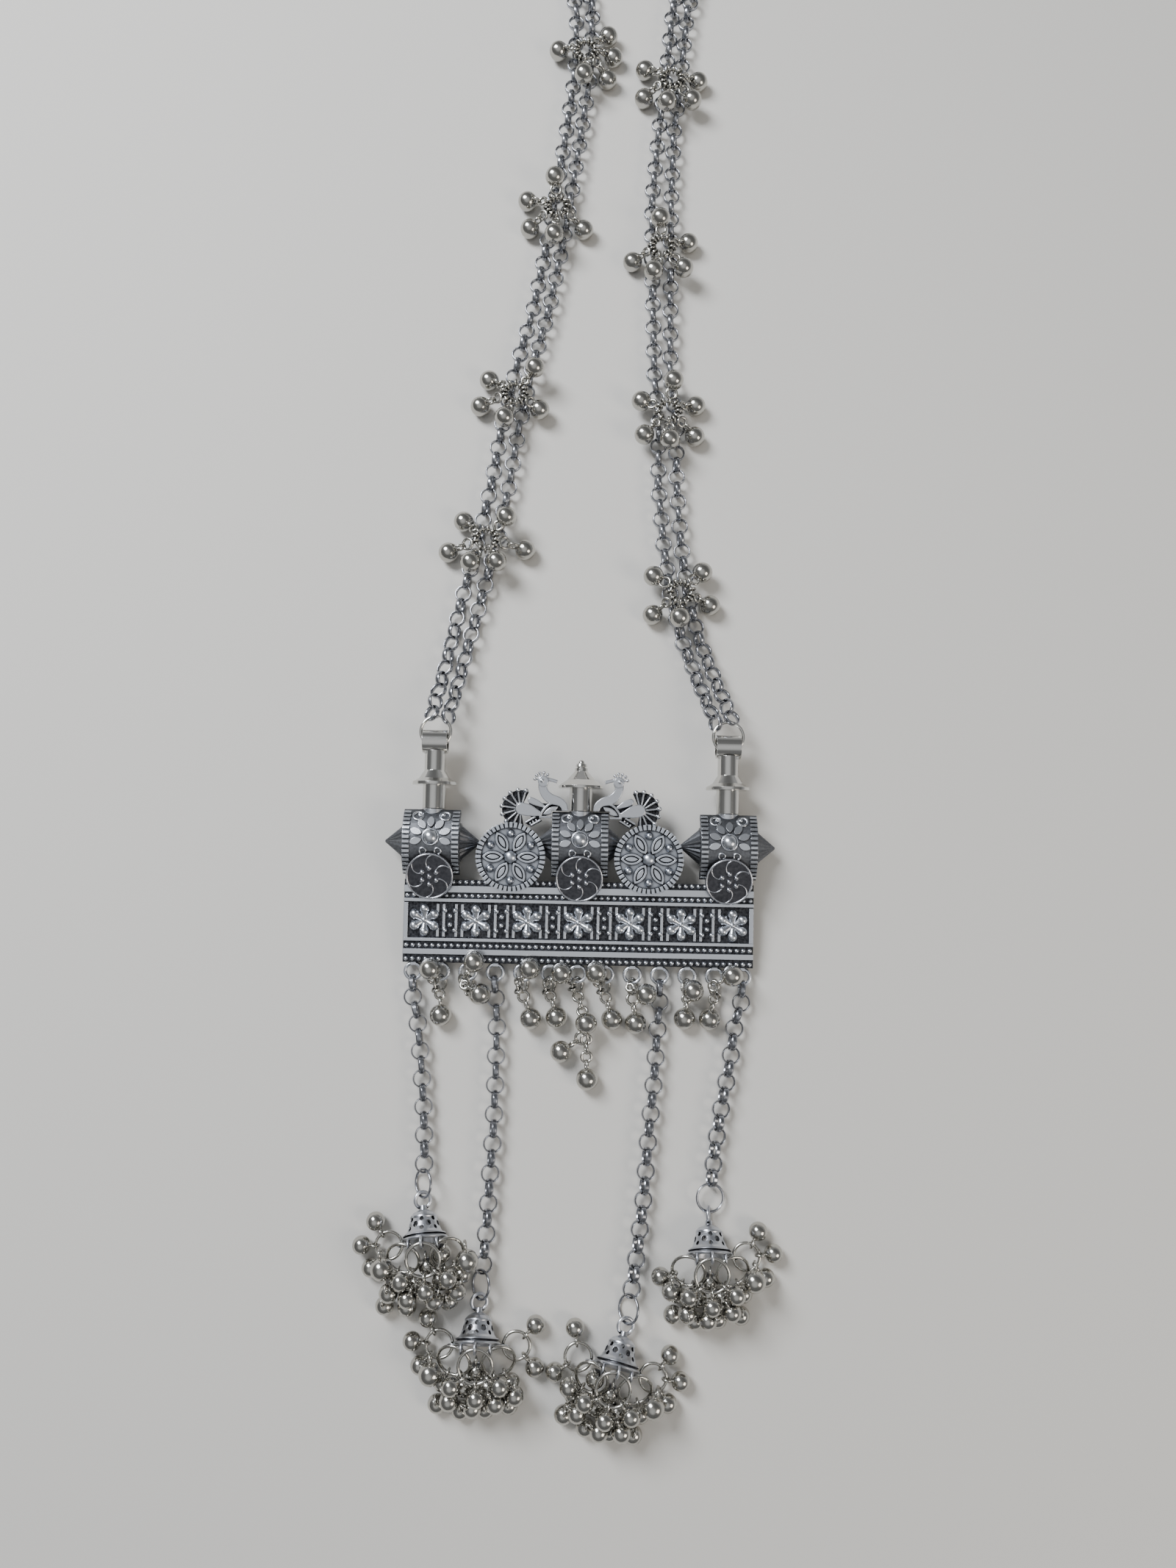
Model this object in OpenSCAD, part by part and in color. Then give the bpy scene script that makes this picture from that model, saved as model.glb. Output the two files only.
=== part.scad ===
// Long necklace in oxidised silver: a bar pendant with three drums, two medallions and two
// peacocks, a fringe of ball bells, four chains that end in bell caps, and a double link chain.
// It lies on its back. X runs along the bar, Y up to the neck and Z off the surface.

/* [Bar] */
// Length of the flat bar
bar_w = 80; // [79:0.5:81]
// Height of the flat bar
bar_h = 18.9; // [18.6:0.1:19.2]
// Thickness of the bar's back plate
bar_t = 1.2; // [1.1:0.05:1.3]
// Diameter of the small balls in the bar's bead rows
row_ball_d = 1.06; // [0.9:0.02:1.1]
// Distance between balls in a bead row
row_pitch = 1.48; // [1.4:0.02:1.6]
// Distance between the flowers of the bar
flower_pitch = 11.75; // [11.5:0.05:12]
// Distance between the soldered loops under the bar
loop_pitch = 6.27; // [6.1:0.01:6.3]

/* [Drums] */
// Distance of the outer drums from the middle
drum_x = 34; // [33.5:0.1:34.5]
// Length of a drum without its cones
drum_w = 13; // [12.5:0.1:13.5]
// Radius of the barrel behind the curved front
barrel_r = 4.4; // [4.2:0.05:4.5]
// Radius of the curved front plate
arch_r = 9.4; // [9.2:0.1:9.6]
// Length of the fluted cones
cone_h = 4.5; // [4:0.1:4.8]

/* [Discs] */
// Radius of the two medallions
medal_r = 7.95; // [7.7:0.05:8]
// Distance of a medallion from the middle
medal_x = 15.8; // [15.7:0.05:16]
// Radius of the three rosettes
rosette_r = 5.4; // [5.2:0.05:5.5]

/* [Chain] */
// Outer diameter of a chain link
link_od = 4.2; // [4.1:0.05:4.3]
// Thickness of a link's flat wire
link_t = 0.39; // [0.36:0.01:0.42]
// Width of a link's flat wire
link_w = 1.3; // [1.1:0.05:1.3]
// Distance between links on a straight stretch
link_pitch = 3.22; // [3:0.02:3.24]

/* [Bells] */
// Diameter of a ball bell of the fringe and the clusters
bell_d = 4.9; // [4.6:0.1:5]
// Diameter of a ball bell under the caps
small_bell_d = 4.1; // [3.9:0.1:4.2]
// Radius of a bell cap's mouth
cap_r = 4.6; // [4.4:0.1:4.7]
// Length of a bell cap
cap_h = 6.4; // [6.2:0.1:6.6]

/* [Hidden] */
$fn = 28;
silver = "#b9bcc2";
dark = "#55565e";

// The sizes below set how the pendant lies: leaned on its drums, loops a little off the surface
mid_x = 0.3;
mid_y = 126.2;
lean = 6.8;
hinge_y = -13.8;
lift = 1.3;
drum_y = 18;
barrel_z = (barrel_r - lift - (drum_y - hinge_y) * sin(lean)) / cos(lean);
arch_z = barrel_z + barrel_r + 0.8 - arch_r;
arch_half = 52.4;
loop_od = 4.5;
loop_wire = 0.85;
loop_y = -bar_h / 2 - 2.1;
medal_y = 14.9;
medal_z = 1.95;
rosette_y = 11.2;
rosette_tip = 13.7;
stem_r = 2.65;
ring_od = 7.8;
ring_wire = 0.8;
ring_y = 44;
eye_wire = 0.7;
strand_r = 1.8;
seam = 0.15;

// Relief rows of the bar: distance from the top edge, height, rise over the plate
bar_strips = [[1.4, 1.5, 0.45], [4.3, 0.75, 0.6], [13.3, 0.7, 0.6], [15.8, 1.2, 0.45]];
bead_rows = [0.56, 3.64, 15, 18.1];
band_top = 5.3;
band_h = 8;

// Double strands: x, y and z of the pair's middle, and the distance between its two strands
left_pair = [
    [-33.2, 47.4, 7.2, 3.9], [-31.3, 58, 3.4, 4], [-29.6, 67, 2.2, 4.2], [-26.8, 80, 2.2, 4.6],
    [-23.8, 93, 2.2, 4.6], [-21.2, 108, 2.2, 4.4], [-19.4, 122, 2.2, 4.2],
    [-16.4, 138, 2.2, 4], [-12.6, 154, 2.2, 4], [-9.9, 170, 2.2, 4], [-7.4, 188, 2.2, 4],
    [-5.2, 206, 2.2, 4], [-3.4, 222, 2.2, 4.1], [-3.2, 241, 2.2, 4.3], [-7, 258, 2.2, 4.3],
    [-15.5, 276, 2.2, 4.3], [-23.5, 296, 2.2, 4.3], [-26, 316, 2.2, 4.3],
    [-21.5, 336, 2.2, 4.3], [-9.5, 350, 2.2, 4.3], [3.6, 355.5, 2.2, 4]
];
right_pair = [
    [32.9, 47.3, 7.2, 3.9], [29.6, 57, 3.4, 4], [25.6, 68, 2.2, 4], [22.6, 80, 2.2, 4.2],
    [20.9, 93, 2.2, 4.3], [19.7, 108, 2.2, 4.6], [19.6, 124, 2.2, 4.3], [18.2, 138, 2.2, 4.1],
    [18, 152, 2.2, 4.4], [17.7, 170, 2.2, 4.8], [17.7, 186, 2.2, 5], [18.8, 206, 2.2, 4],
    [20.3, 220, 2.2, 4], [22.1, 241, 2.2, 4], [26, 258, 2.2, 4.3], [34.5, 276, 2.2, 4.3],
    [42.5, 296, 2.2, 4.3], [45, 316, 2.2, 4.3], [40.5, 336, 2.2, 4.3],
    [28.5, 350, 2.2, 4.3], [15.4, 355.5, 2.2, 4]
];

// Clusters on the strands: middle of the ring, then the x and y of each bell
clusters_left = [
    [[-24.2, 91.5], [[-30, 97], [-19.4, 97], [-33.4, 89], [-27.6, 85.2], [-21.4, 85.6], [-14.8, 90]]],
    [[-18.4, 129.5], [[-25, 134.4], [-13.5, 136], [-27, 127.4], [-20.6, 122.6], [-12.2, 126.4]]],
    [[-9, 181], [[-9.8, 188.6], [-16.8, 184.4], [-16, 176.6], [-9.6, 172.8], [-2.2, 176.6]]],
    [[-2.6, 226.5], [[-9.8, 228.4], [3.2, 233], [4.6, 227], [3.2, 220.4], [-3, 218.6]]]
];
clusters_right = [
    [[23, 79], [[16.4, 83.2], [28.2, 84.6], [16.4, 74.2], [22.6, 72.4], [30.2, 76.8]]],
    [[19.6, 125.6], [[13, 128.8], [20.8, 133.2], [26.6, 128.6], [13.8, 119.6], [20, 117.8], [26.4, 120.4]]],
    [[17.7, 170.3], [[17.2, 177.8], [24.6, 173.4], [10.4, 167.8], [15.6, 162.8], [23.2, 164.6]]],
    [[19.9, 218.6], [[13, 223.4], [27, 220.2], [12.8, 215], [18.6, 211], [25.2, 213]]]
];

// Fringe: loop number, then x, y and z of each bell, and of a bell that hangs lower
fringe = [
    [2, [[-33.3, -11.2, 5.9], [-30.9, -21.4, 2.45]]],
    [3, [[-23.4, -9.4, 6.4], [-21.9, -16.6, 5]]],
    [5, [[-10.8, -10.7, 5.9], [-10.4, -21.8, 2.45]]],
    [6, [[-3.6, -11.6, 5.6], [-4.6, -21.4, 2.45]]],
    [7, [[2.2, -22.6, 5.2], [-3.4, -29, 2.45], [2.6, -35, 2.45]]],
    [8, [[4.2, -11.2, 5.8], [8, -21.6, 2.45]]],
    [9, [[15.6, -15.9, 4.8], [13.4, -22.4, 2.45]]],
    [11, [[26.2, -14.9, 5], [24.5, -21.2, 2.45]]],
    [12, [[30.2, -21.2, 2.45], [35, -11.4, 5.8]]]
];

// Drop chains: x and y of their route, from a loop of the bar to the middle of the end ring
drop_routes = [
    [[-37.6, -14.35], [-37.4, -17.5], [-36.2, -22], [-35, -31], [-33.9, -42], [-33.2, -52], [-33.2, -58]],
    [[-18.8, -14.3], [-18.5, -17.5], [-18.1, -22], [-18, -34], [-18.1, -46],
        [-18.6, -58], [-18.9, -68], [-19.7, -79]],
    [[18.8, -14.4], [18.8, -17.5], [18.5, -22], [17.8, -34], [16.5, -48],
        [15.7, -60], [14.3, -72], [12.6, -83.4]],
    [[37.6, -14.35], [37.4, -17.5], [36, -22], [34.8, -31], [32.8, -41], [31.4, -50], [30.4, -60]]
];
end_ring_od = 6.6;
end_ring_wire = 0.6;
chain_z = 2.15;

// Caps: turn of the axis, roll of the top eye, then the rings at its mouth.
// A ring has its place round the mouth, its spread to the side, its fall, its radius and its bells.
// The small ones hang in loops beside the mouth, the others in loops below it
side_ring = 2.9;
low_ring = 3.6;
caps = [
    [8, 20, [[-118, -98, -2, side_ring, [-58, 0, 52]], [-48, -33, 29, low_ring, [0, 46]],
        [0, -2, 8, low_ring, [-51, 0, 48]], [48, 31, 29, low_ring, [-47, -6]]]],
    [0, 15, [[-118, -95, -2, side_ring, [-58, 0, 52]], [-48, -31, 29, low_ring, [4, 47]],
        [0, 2, 8, low_ring, [-52, 0, 50]], [48, 32, 29, low_ring, [-48, -4]],
        [118, 95, -2, side_ring, [-52, 42]]]],
    [-14, 15, [[-118, -96, -2, side_ring, [-62, 52]], [-48, -32, 29, low_ring, [4, 48]],
        [0, -1, 8, low_ring, [-50, 0, 50]], [48, 32, 29, low_ring, [-48, -4]],
        [118, 98, -2, side_ring, [-52, 0, 58]]]],
    [0, 80, [[-48, -31, 29, low_ring, [-38, 6, 47]],
        [0, 1, 8, low_ring, [-48, 0, 51]], [48, 33, 29, low_ring, [-49, -5]],
        [118, 98, -2, side_ring, [-54, 0, 56]]]]
];

// Bells that lie below and on top of a cap's rings: x and y from the cap's eye, z, diameter
// and rise of the bell's own eye
more_bells = [
    [[-10.4, -20.9, 2.08, 4.1, 62], [-5.6, -21.8, 2.08, 4.1, 62], [3.6, -21.6, 2.08, 4.1, 68],
        [-9.4, -12.3, 7.5, 4.9, 8], [9, -12.8, 7.5, 4.9, 8]],
    [[-8.4, -20.8, 2.08, 4.1, 62], [-3.3, -22, 2.08, 4.1, 62], [2, -21.6, 2.08, 4.1, 66],
        [7, -20.8, 2.08, 4.1, 66], [-9.6, -13.5, 7, 4.9, 8]],
    [[-8.4, -20.8, 2.08, 4.1, 62], [-3.3, -22, 2.08, 4.1, 62], [2, -21.6, 2.08, 4.1, 66],
        [7, -20.8, 2.08, 4.1, 66], [9.2, -13, 7.3, 4.9, 8]],
    [[-7.8, -20.9, 2.08, 4.1, 66], [-3, -22, 2.08, 4.1, 62], [2, -21.6, 2.08, 4.1, 66],
        [7, -20.8, 2.08, 4.1, 66], [9.4, -12.6, 7.4, 4.9, 8]]
];

// Lengths along a route, and the point a given way along it
function leg(p, i) = norm(p[i + 1] - p[i]);
function run(p, i) = i == 0 ? 0 : run(p, i - 1) + leg(p, i - 1);
function along(p, s) = [
    lookup(s, [for (i = [0 : len(p) - 1]) [run(p, i), p[i][0]]]),
    lookup(s, [for (i = [0 : len(p) - 1]) [run(p, i), p[i][1]]])
];
function heading(a, b) = atan2(b[1] - a[1], b[0] - a[0]);

// Row at which a strand's second length starts
back_row = 13;
// One strand of a pair: its points lie half the pair's distance to one side of the middle
function side_turn(p, i) = heading(p[max(i - 1, 0)], p[min(i + 1, len(p) - 1)]) + 90;
function strand(p, side) = [
    for (i = [0 : len(p) - 1])
        [p[i][0] + side * p[i][3] / 2 * cos(side_turn(p, i)),
         p[i][1] + side * p[i][3] / 2 * sin(side_turn(p, i)), p[i][2]]
];

// Height at which a bell lies on the surface or on the strands below it
function strand_gap(s, x, y) = abs(x - lookup(y, [for (q = s) [q[1], q[0]]]));
function seat(pair, x, y) =
    let (near = min(strand_gap(strand(pair, 1), x, y), strand_gap(strand(pair, -1), x, y)),
         reach = bell_d / 2 + strand_r + 0.18)
    max(bell_d / 2, 2.2 + (near < reach ? sqrt(reach * reach - near * near) : 0));

module place() translate([-mid_x, -mid_y, 0]) children();
module on_pendant() {
    place() translate([0, hinge_y, lift]) rotate([lean, 0, 0]) translate([0, -hinge_y, 0])
        children();
}
module wire_ring(od, wire) rotate_extrude() translate([(od - wire) / 2, 0]) circle(d = wire, $fn = 16);

// A rod or cone whose axis runs along Y
module rod(h, r1, r2) rotate([-90, 0, 0]) cylinder(h = h, r1 = r1, r2 = r2);

// Flat link of half-round wire, as a six-sided section turned round
module chain_link() {
    inner = link_od / 2 - link_t;
    rotate_extrude()
        polygon([[inner, -0.35], [inner + link_t / 2, -link_w / 2], [link_od / 2, -0.35],
            [link_od / 2, 0.35], [inner + link_t / 2, link_w / 2], [inner, 0.35]]);
}

// Flat leaf shape with two pointed ends, along X
module leaf(length, width) {
    r = (length * length + width * width) / (4 * width);
    intersection() {
        translate([0, r - width / 2]) circle(r, $fn = 90);
        translate([0, width / 2 - r]) circle(r, $fn = 90);
    }
}

// Domed teardrop petal that points away from the middle along Y
module drop_petal(start, reach, r) {
    translate([0, start, 0]) rod(reach - r - start, 0.45, r * 0.95);
    translate([0, reach - r, 0]) sphere(r);
}

// A row of small eyes from one point to a bell, with the bell at its end
module hang(from, to, d, roll = 80) {
    way = to - from;
    span = norm(way) - d / 2 + 0.35;
    count = max(1, ceil(span / 2.6));
    step = span / count;
    translate(from) rotate([0, acos(way[2] / norm(way)), atan2(way[1], way[0])])
        for (i = [0 : count - 1])
            translate([0, 0, step * (i + 0.5)]) rotate([90, 0, roll + 90 * (i % 2)])
                wire_ring(step + eye_wire + 0.3, eye_wire);
    translate(to) sphere(d = d);
}

module bar_flower() {
    for (i = [0 : 5])
        rotate([0, 0, 60 * i]) translate([0, 0, bar_t - 0.05]) drop_petal(0.5, 3.8, 1.2);
    translate([0, 0, bar_t]) sphere(r = 0.75);
}

module bar_reed(x, y, h) translate([x - 0.3, y, bar_t - 0.2]) cube([0.6, h, 0.55]);

module bar() color(silver) on_pendant() {
    union() {
        translate([-bar_w / 2, -bar_h / 2, 0]) cube([bar_w, bar_h, bar_t]);
        for (s = bar_strips)
            translate([-bar_w / 2, bar_h / 2 - s[0] - s[1], bar_t - 0.2]) cube([bar_w, s[1], s[2] + 0.2]);
        for (side = [-1, 1])
            translate([side * (bar_w / 2 - 0.5) - 0.5, bar_h / 2 - band_top - band_h, bar_t - 0.2])
                cube([1, band_h, 0.65]);
        balls = floor((bar_w - row_ball_d) / row_pitch);
        for (row = bead_rows, i = [0 : balls])
            translate([(i - balls / 2) * row_pitch, bar_h / 2 - row, bar_t]) sphere(d = row_ball_d);
        for (i = [-3 : 3]) translate([i * flower_pitch, bar_h / 2 - band_top - band_h / 2, 0]) bar_flower();
        for (i = [-2.5 : 2.5]) translate([i * flower_pitch, bar_h / 2 - band_top - band_h / 2, 0]) {
            for (side = [-1, 1]) {
                bar_reed(side * 1.4, -band_h / 2 + 0.3, band_h - 0.6);
                for (up = [0, 1]) bar_reed(side * 2.8, up * (band_h - 2.5) - band_h / 2 + 0.3, 1.9);
                for (up = [-1, 1]) {
                    translate([side * 1.12, up * 2.25, bar_t + 0.2]) sphere(d = 1.15);
                    translate([0, up * 1, bar_t + 0.1]) sphere(d = 1.15);
                }
            }
        }
        for (i = [-6 : 6]) translate([i * loop_pitch, loop_y, loop_wire / 2]) {
            wire_ring(loop_od, loop_wire);
            translate([-0.6, loop_od / 2 - loop_wire, -loop_wire / 2]) cube([1.2, 0.9, loop_wire]);
        }
    }
}

// Puts a shape on the curved front of a drum: along the drum, and round it from the middle
module on_arch(x, round) {
    translate([0, drum_y, arch_z]) rotate([-round / arch_r * 180 / PI, 0, 0])
        translate([x, 0, arch_r]) children();
}

module fluted_cone() {
    flutes = 20;
    points = [for (i = [0 : 2 * flutes - 1])
        let (r = i % 2 == 0 ? 4.1 : 3.7) [r * cos(180 * i / flutes), r * sin(180 * i / flutes)]];
    translate([drum_w / 2 - 0.1, 0, 0]) rotate([0, 90, 0])
        linear_extrude(height = cone_h + 0.1, scale = 0.06) polygon(points);
}

module drum_body() {
    translate([0, drum_y, barrel_z]) {
        rotate([0, 90, 0]) cylinder(h = drum_w, r = barrel_r, center = true);
        fluted_cone();
        mirror([1, 0, 0]) fluted_cone();
    }
    translate([0, drum_y, arch_z]) rotate([0, 90, 0]) rotate([0, 0, 180 - arch_half])
        translate([0, 0, -drum_w / 2]) linear_extrude(height = drum_w)
            polygon(concat(
                [for (i = [0 : 24]) let (a = i * arch_half / 12) arch_r * [cos(a), sin(a)]],
                [for (i = [24 : -1 : 0]) let (a = i * arch_half / 12) (arch_r - 1.2) * [cos(a), sin(a)]]));
    for (side = [-1, 1]) {
        for (i = [-7 : 7])
            on_arch(side * (drum_w / 2 - 0.9), i * 1.05) translate([-0.8, -0.3, -0.2]) cube([1.6, 0.6, 0.55]);
        on_arch(side * 3.1, 6.3) wire_ring(2.8, 0.6);
        on_arch(side * 2.7, 6.6) sphere(r = 0.5);
        on_arch(side * 1.7, -2.1) wire_ring(1.9, 0.45);
    }
    on_arch(0, 1.15) {
        translate([0, 0, -0.75]) intersection() {
            sphere(r = 1.95);
            translate([-2, -2, 0.3]) cube([4, 4, 2]);
        }
        wire_ring(4, 0.35);
    }
    for (a = [-16, 20, 55, 90, 125, 160, 196])
        on_arch(3.5 * cos(a), 1.15 + 3.5 * sin(a)) translate([0, 0, -0.2]) rotate([0, 0, a])
            linear_extrude(height = 0.6) leaf(2.75, 1.6);
    translate([0, drum_y + 4.6, barrel_z]) rod(25.6 - drum_y - 4.6, stem_r, stem_r);
}
module drum(x) color(silver) on_pendant() translate([x, 0, 0]) union() drum_body();

module rosette(x) color(dark) on_pendant()
    translate([x, rosette_y, 0]) rotate([rosette_tip, 0, 0])
        translate([0, 0, 0.3 + medal_z * cos(rosette_tip) + rosette_r * sin(rosette_tip)]) union() {
            cylinder(h = 0.8, r = rosette_r);
            translate([0, 0, 0.8]) wire_ring(2 * rosette_r, 0.5);
            translate([0, 0, 0.9]) sphere(r = 0.6);
            for (i = [0 : 5]) rotate([0, 0, 30 + 60 * i]) {
                translate([1.85, 0, 0.9]) sphere(r = 0.6);
                translate([3.1, -1.1, 0.8]) rotate([0, 0, 12])
                    rotate_extrude(angle = 130) translate([1.9, 0]) circle(d = 0.36, $fn = 16);
            }
        }

module medallion(x) color(silver) on_pendant() translate([x, medal_y, medal_z]) union() {
    cylinder(h = 0.9, r = medal_r - 0.2);
    blocks = 44;
    difference() {
        cylinder(h = 1.3, r = medal_r - 0.3);
        translate([0, 0, 0.5]) cylinder(h = 1, r = medal_r - 1.1);
    }
    for (i = [0 : blocks - 1])
        rotate([0, 0, 360 * i / blocks]) translate([medal_r - 1.25, -0.36, 0.5]) cube([1.25, 0.72, 1.15]);
    for (i = [0 : 5]) rotate([0, 0, 60 * i]) {
        translate([3.95, 0, 0.7]) linear_extrude(height = 0.85) difference() {
            leaf(4.9, 2.5);
            leaf(3.7, 1.6);
        }
        translate([3.95, 0, 0.7]) linear_extrude(height = 0.7) leaf(2.9, 1.05);
        rotate([0, 0, 30]) translate([5.35, 0, 1]) sphere(r = 0.88);
    }
    intersection() {
        translate([0, 0, 0.3]) sphere(r = 1.75);
        cylinder(h = 3, r = 1.45);
    }
}

// Band with a smooth outline, from a table of x, y and width; its ends are round
function blend(a, b, c, d, t) =
    0.5 * (2 * b + (c - a) * t + (2 * a - 5 * b + 4 * c - d) * t * t + (3 * b - a - 3 * c + d) * t * t * t);
function smooth(p, n) = [
    for (i = [0 : len(p) - 2], k = [0 : n - 1])
        blend(p[max(i - 1, 0)], p[i], p[i + 1], p[min(i + 2, len(p) - 1)], k / n),
    p[len(p) - 1]
];
module band(table, h) {
    p = smooth(table, 4);
    last = len(p) - 1;
    edge = function (i, side)
        let (a = heading(p[max(i - 1, 0)], p[min(i + 1, last)]) + 90)
            [p[i][0] + side * p[i][2] / 2 * cos(a), p[i][1] + side * p[i][2] / 2 * sin(a)];
    linear_extrude(height = h) {
        polygon(concat([for (i = [0 : last]) edge(i, 1)], [for (i = [last : -1 : 0]) edge(i, -1)]));
        translate([p[0][0], p[0][1]]) circle(d = p[0][2] * 0.98);
        translate([p[last][0], p[last][1]]) circle(d = p[last][2] * 0.98);
    }
}

peacock_neck = [[8.6, 32.3, 2.3], [8.8, 31, 2], [8.2, 29.5, 2.1], [6.9, 28.4, 2.3], [5.2, 27.9, 2],
    [3.9, 27.1, 1.5], [3.45, 26, 1.1]];
peacock_wing = [[9.3, 24.3, 0.5], [8.7, 25.6, 0.5], [7.3, 27.1, 0.5], [5.6, 27.4, 0.5], [4.4, 26.6, 0.5],
    [4.1, 25.9, 0.5]];
peacock_body = [[9.2, 24.9, 0.9], [10.4, 25.2, 1.8], [12, 25.7, 2.7], [13.5, 26, 2.9]];
peacock_feather = [[8.6, 26.7, 0.7], [10, 27.4, 1.4], [11.5, 28, 1.5]];
fan_x = 13.8;
fan_y = 26;
module peacock_shape() translate([0, 0, 0.6]) difference() {
    union() {
        band(peacock_neck, 1.2);
        translate([8.7, 32.4, 0]) cylinder(h = 1.3, r = 1.25);
        translate([9, 32.5, 1.2]) sphere(r = 0.4);
        translate([5.6, 32, 0.3]) rotate([0, 0, 15]) cube([2.6, 0.75, 0.8]);
        for (i = [0 : 4]) let (a = 10 + 30 * i) {
            translate([8.9 + 0.5 * cos(a), 32.6 + 0.5 * sin(a), 0.35]) rotate([0, 0, a])
                translate([0, -0.17, 0]) cube([1.2, 0.34, 0.5]);
            translate([8.9 + 1.8 * cos(a), 32.6 + 1.8 * sin(a), 0.6]) sphere(r = 0.38);
        }
        linear_extrude(height = 0.5)
            polygon([[4, 25.8], [9.8, 23.9], [11.5, 24.2], [12, 27.8], [8, 27.3], [5, 27.6]]);
        band(peacock_wing, 1.2);
        translate([6.9, 25.7, 0]) rotate([0, 0, -28]) linear_extrude(height = 1.1) leaf(3.9, 1.4);
        translate([6.6, 23.95, 0]) cube([2.9, 0.5, 1.2]);
        band(peacock_body, 1.2);
        band(peacock_feather, 1);
        linear_extrude(height = 0.5)
            polygon(concat([[fan_x, fan_y]],
                [for (i = [0 : 36]) let (a = -101 + i * 6) [fan_x + 4.3 * cos(a), fan_y + 4.3 * sin(a)]]));
        for (i = [0 : 8]) translate([fan_x, fan_y, 0]) rotate([0, 0, 105 - 24.4 * i]) {
            translate([1.2, -0.19, 0.3]) cube([3.1, 0.38, 0.6]);
            translate([4.35, 0, 0.58]) sphere(r = 0.58);
        }
        for (leg = [[10.2, 24.1], [9, 23.4]])
            translate([leg[0], leg[1], 0.2]) rotate([0, 0, -31]) cube([2.7, 0.42, 0.8]);
        linear_extrude(height = 0.5) polygon([[8.8, 23.3], [11.3, 21.9], [12.7, 22.7], [10.2, 24.5]]);
        for (i = [0 : 2]) translate([10.2 + 0.65 * i, 23.5 - 0.4 * i, 0.7]) sphere(r = 0.27);
    }
    translate([-1, 20, -1]) cube([drum_w / 2 + 1 + seam, 5.7, 4]);
}
module peacock(side) color(silver) on_pendant() mirror([side < 0 ? 1 : 0, 0, 0]) peacock_shape();

// Tube with a flared disc, and the strap loop that the ring passes through
module stem(x) color(silver) on_pendant() translate([x, 0, barrel_z]) union() {
    translate([0, 25.6 + seam, 0]) rod(6.2, stem_r, stem_r);
    translate([0, 31.2, 0]) rod(0.7, 5.05, 5.05);
    translate([0, 31.9, 0]) rod(0.9, 5, 3.45);
    translate([0, 32.7, 0]) rod(1.9, 3.6, 2.4);
    translate([0, 34.6, 0]) rod(4.6, 2.4, 2.4);
    difference() {
        union() {
            translate([0, 41.3, 0]) rotate([0, 90, 0]) cylinder(h = 5.7, r = 2.75, center = true);
            translate([-2.3, 38.4, -1.6]) cube([4.6, 2, 3.2]);
        }
        translate([0, 41.3, 0]) rotate([0, 90, 0]) cylinder(h = 8, r = 2.15, center = true);
    }
}
module finial() color(silver) on_pendant() translate([0, 0, barrel_z]) union() {
    translate([0, 25.6 + seam, 0]) rod(5.5, stem_r, stem_r);
    translate([0, 31, 0]) rod(0.6, 5.2, 5.2);
    translate([0, 31.6, 0]) rod(1.5, 5.15, 3.15);
    translate([0, 33, 0]) rod(2, 3.3, 1.5);
    translate([0, 35, 0]) rod(0.7, 1.5, 1.5);
    translate([0, 35.7, 0]) rod(0.5, 1.1, 1.1);
    translate([0, 36.1, 0]) rod(0.6, 1.4, 1.2);
    translate([0, 36.9, 0]) sphere(r = 0.75);
}
module pendant_ring(x) color(silver) on_pendant()
    translate([x, ring_y - 0.4, barrel_z]) wire_ring(ring_od, ring_wire);

// Eight-sided tube along a length of one strand, one ring of points at each row of the table
module strand_tube(pair, side, first, end) color(silver) place() {
    p = strand(pair, side);
    sides = 8;
    last = end - first;
    points = [for (i = [first : end])
        let (a = side_turn(pair, i),
             away = i == first && first > 0 ? seam * (p[i + 1] - p[i]) / norm(p[i + 1] - p[i]) : [0, 0, 0])
        for (k = [0 : sides - 1])
            let (c = strand_r * cos(360 * k / sides), s = strand_r * sin(360 * k / sides))
            [p[i][0] + away[0] + c * cos(a), p[i][1] + away[1] + c * sin(a), p[i][2] + away[2] + s]];
    walls = [for (i = [0 : last - 1], k = [0 : sides - 1])
        let (j = (k + 1) % sides) [i * sides + k, i * sides + j, (i + 1) * sides + j, (i + 1) * sides + k]];
    ends = [[for (k = [sides - 1 : -1 : 0]) k], [for (k = [0 : sides - 1]) last * sides + k]];
    polyhedron(points, concat(walls, ends), convexity = 8);
}

module clasp() color(silver) place() translate([9.5, 355.5, 2.2]) union() {
    rotate([0, 90, 0]) cylinder(h = 6.4, r = 1.9, center = true);
    for (side = [-1, 1]) translate([side * 4, 0, 0]) wire_ring(3.4, 0.9);
}

module cluster(pair, c) color(silver) place() {
    eye_mid = 0.775;
    ring_z = 2.2 + strand_r + eye_mid + 0.7;
    ring_mid = 2.5;
    translate([c[0][0], c[0][1], ring_z]) wire_ring(2 * ring_mid + eye_wire, eye_wire);
    for (b = c[1]) {
        a = heading(c[0], b);
        far = ring_mid + eye_mid + 0.25;
        union() {
            translate([c[0][0] + ring_mid * cos(a), c[0][1] + ring_mid * sin(a), ring_z])
                rotate([90, 0, a]) wire_ring(2 * eye_mid + 0.55, 0.55);
            hang([c[0][0] + far * cos(a), c[0][1] + far * sin(a), ring_z],
                [b[0], b[1], seat(pair, b[0], b[1])], bell_d, 90);
        }
    }
}

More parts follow.
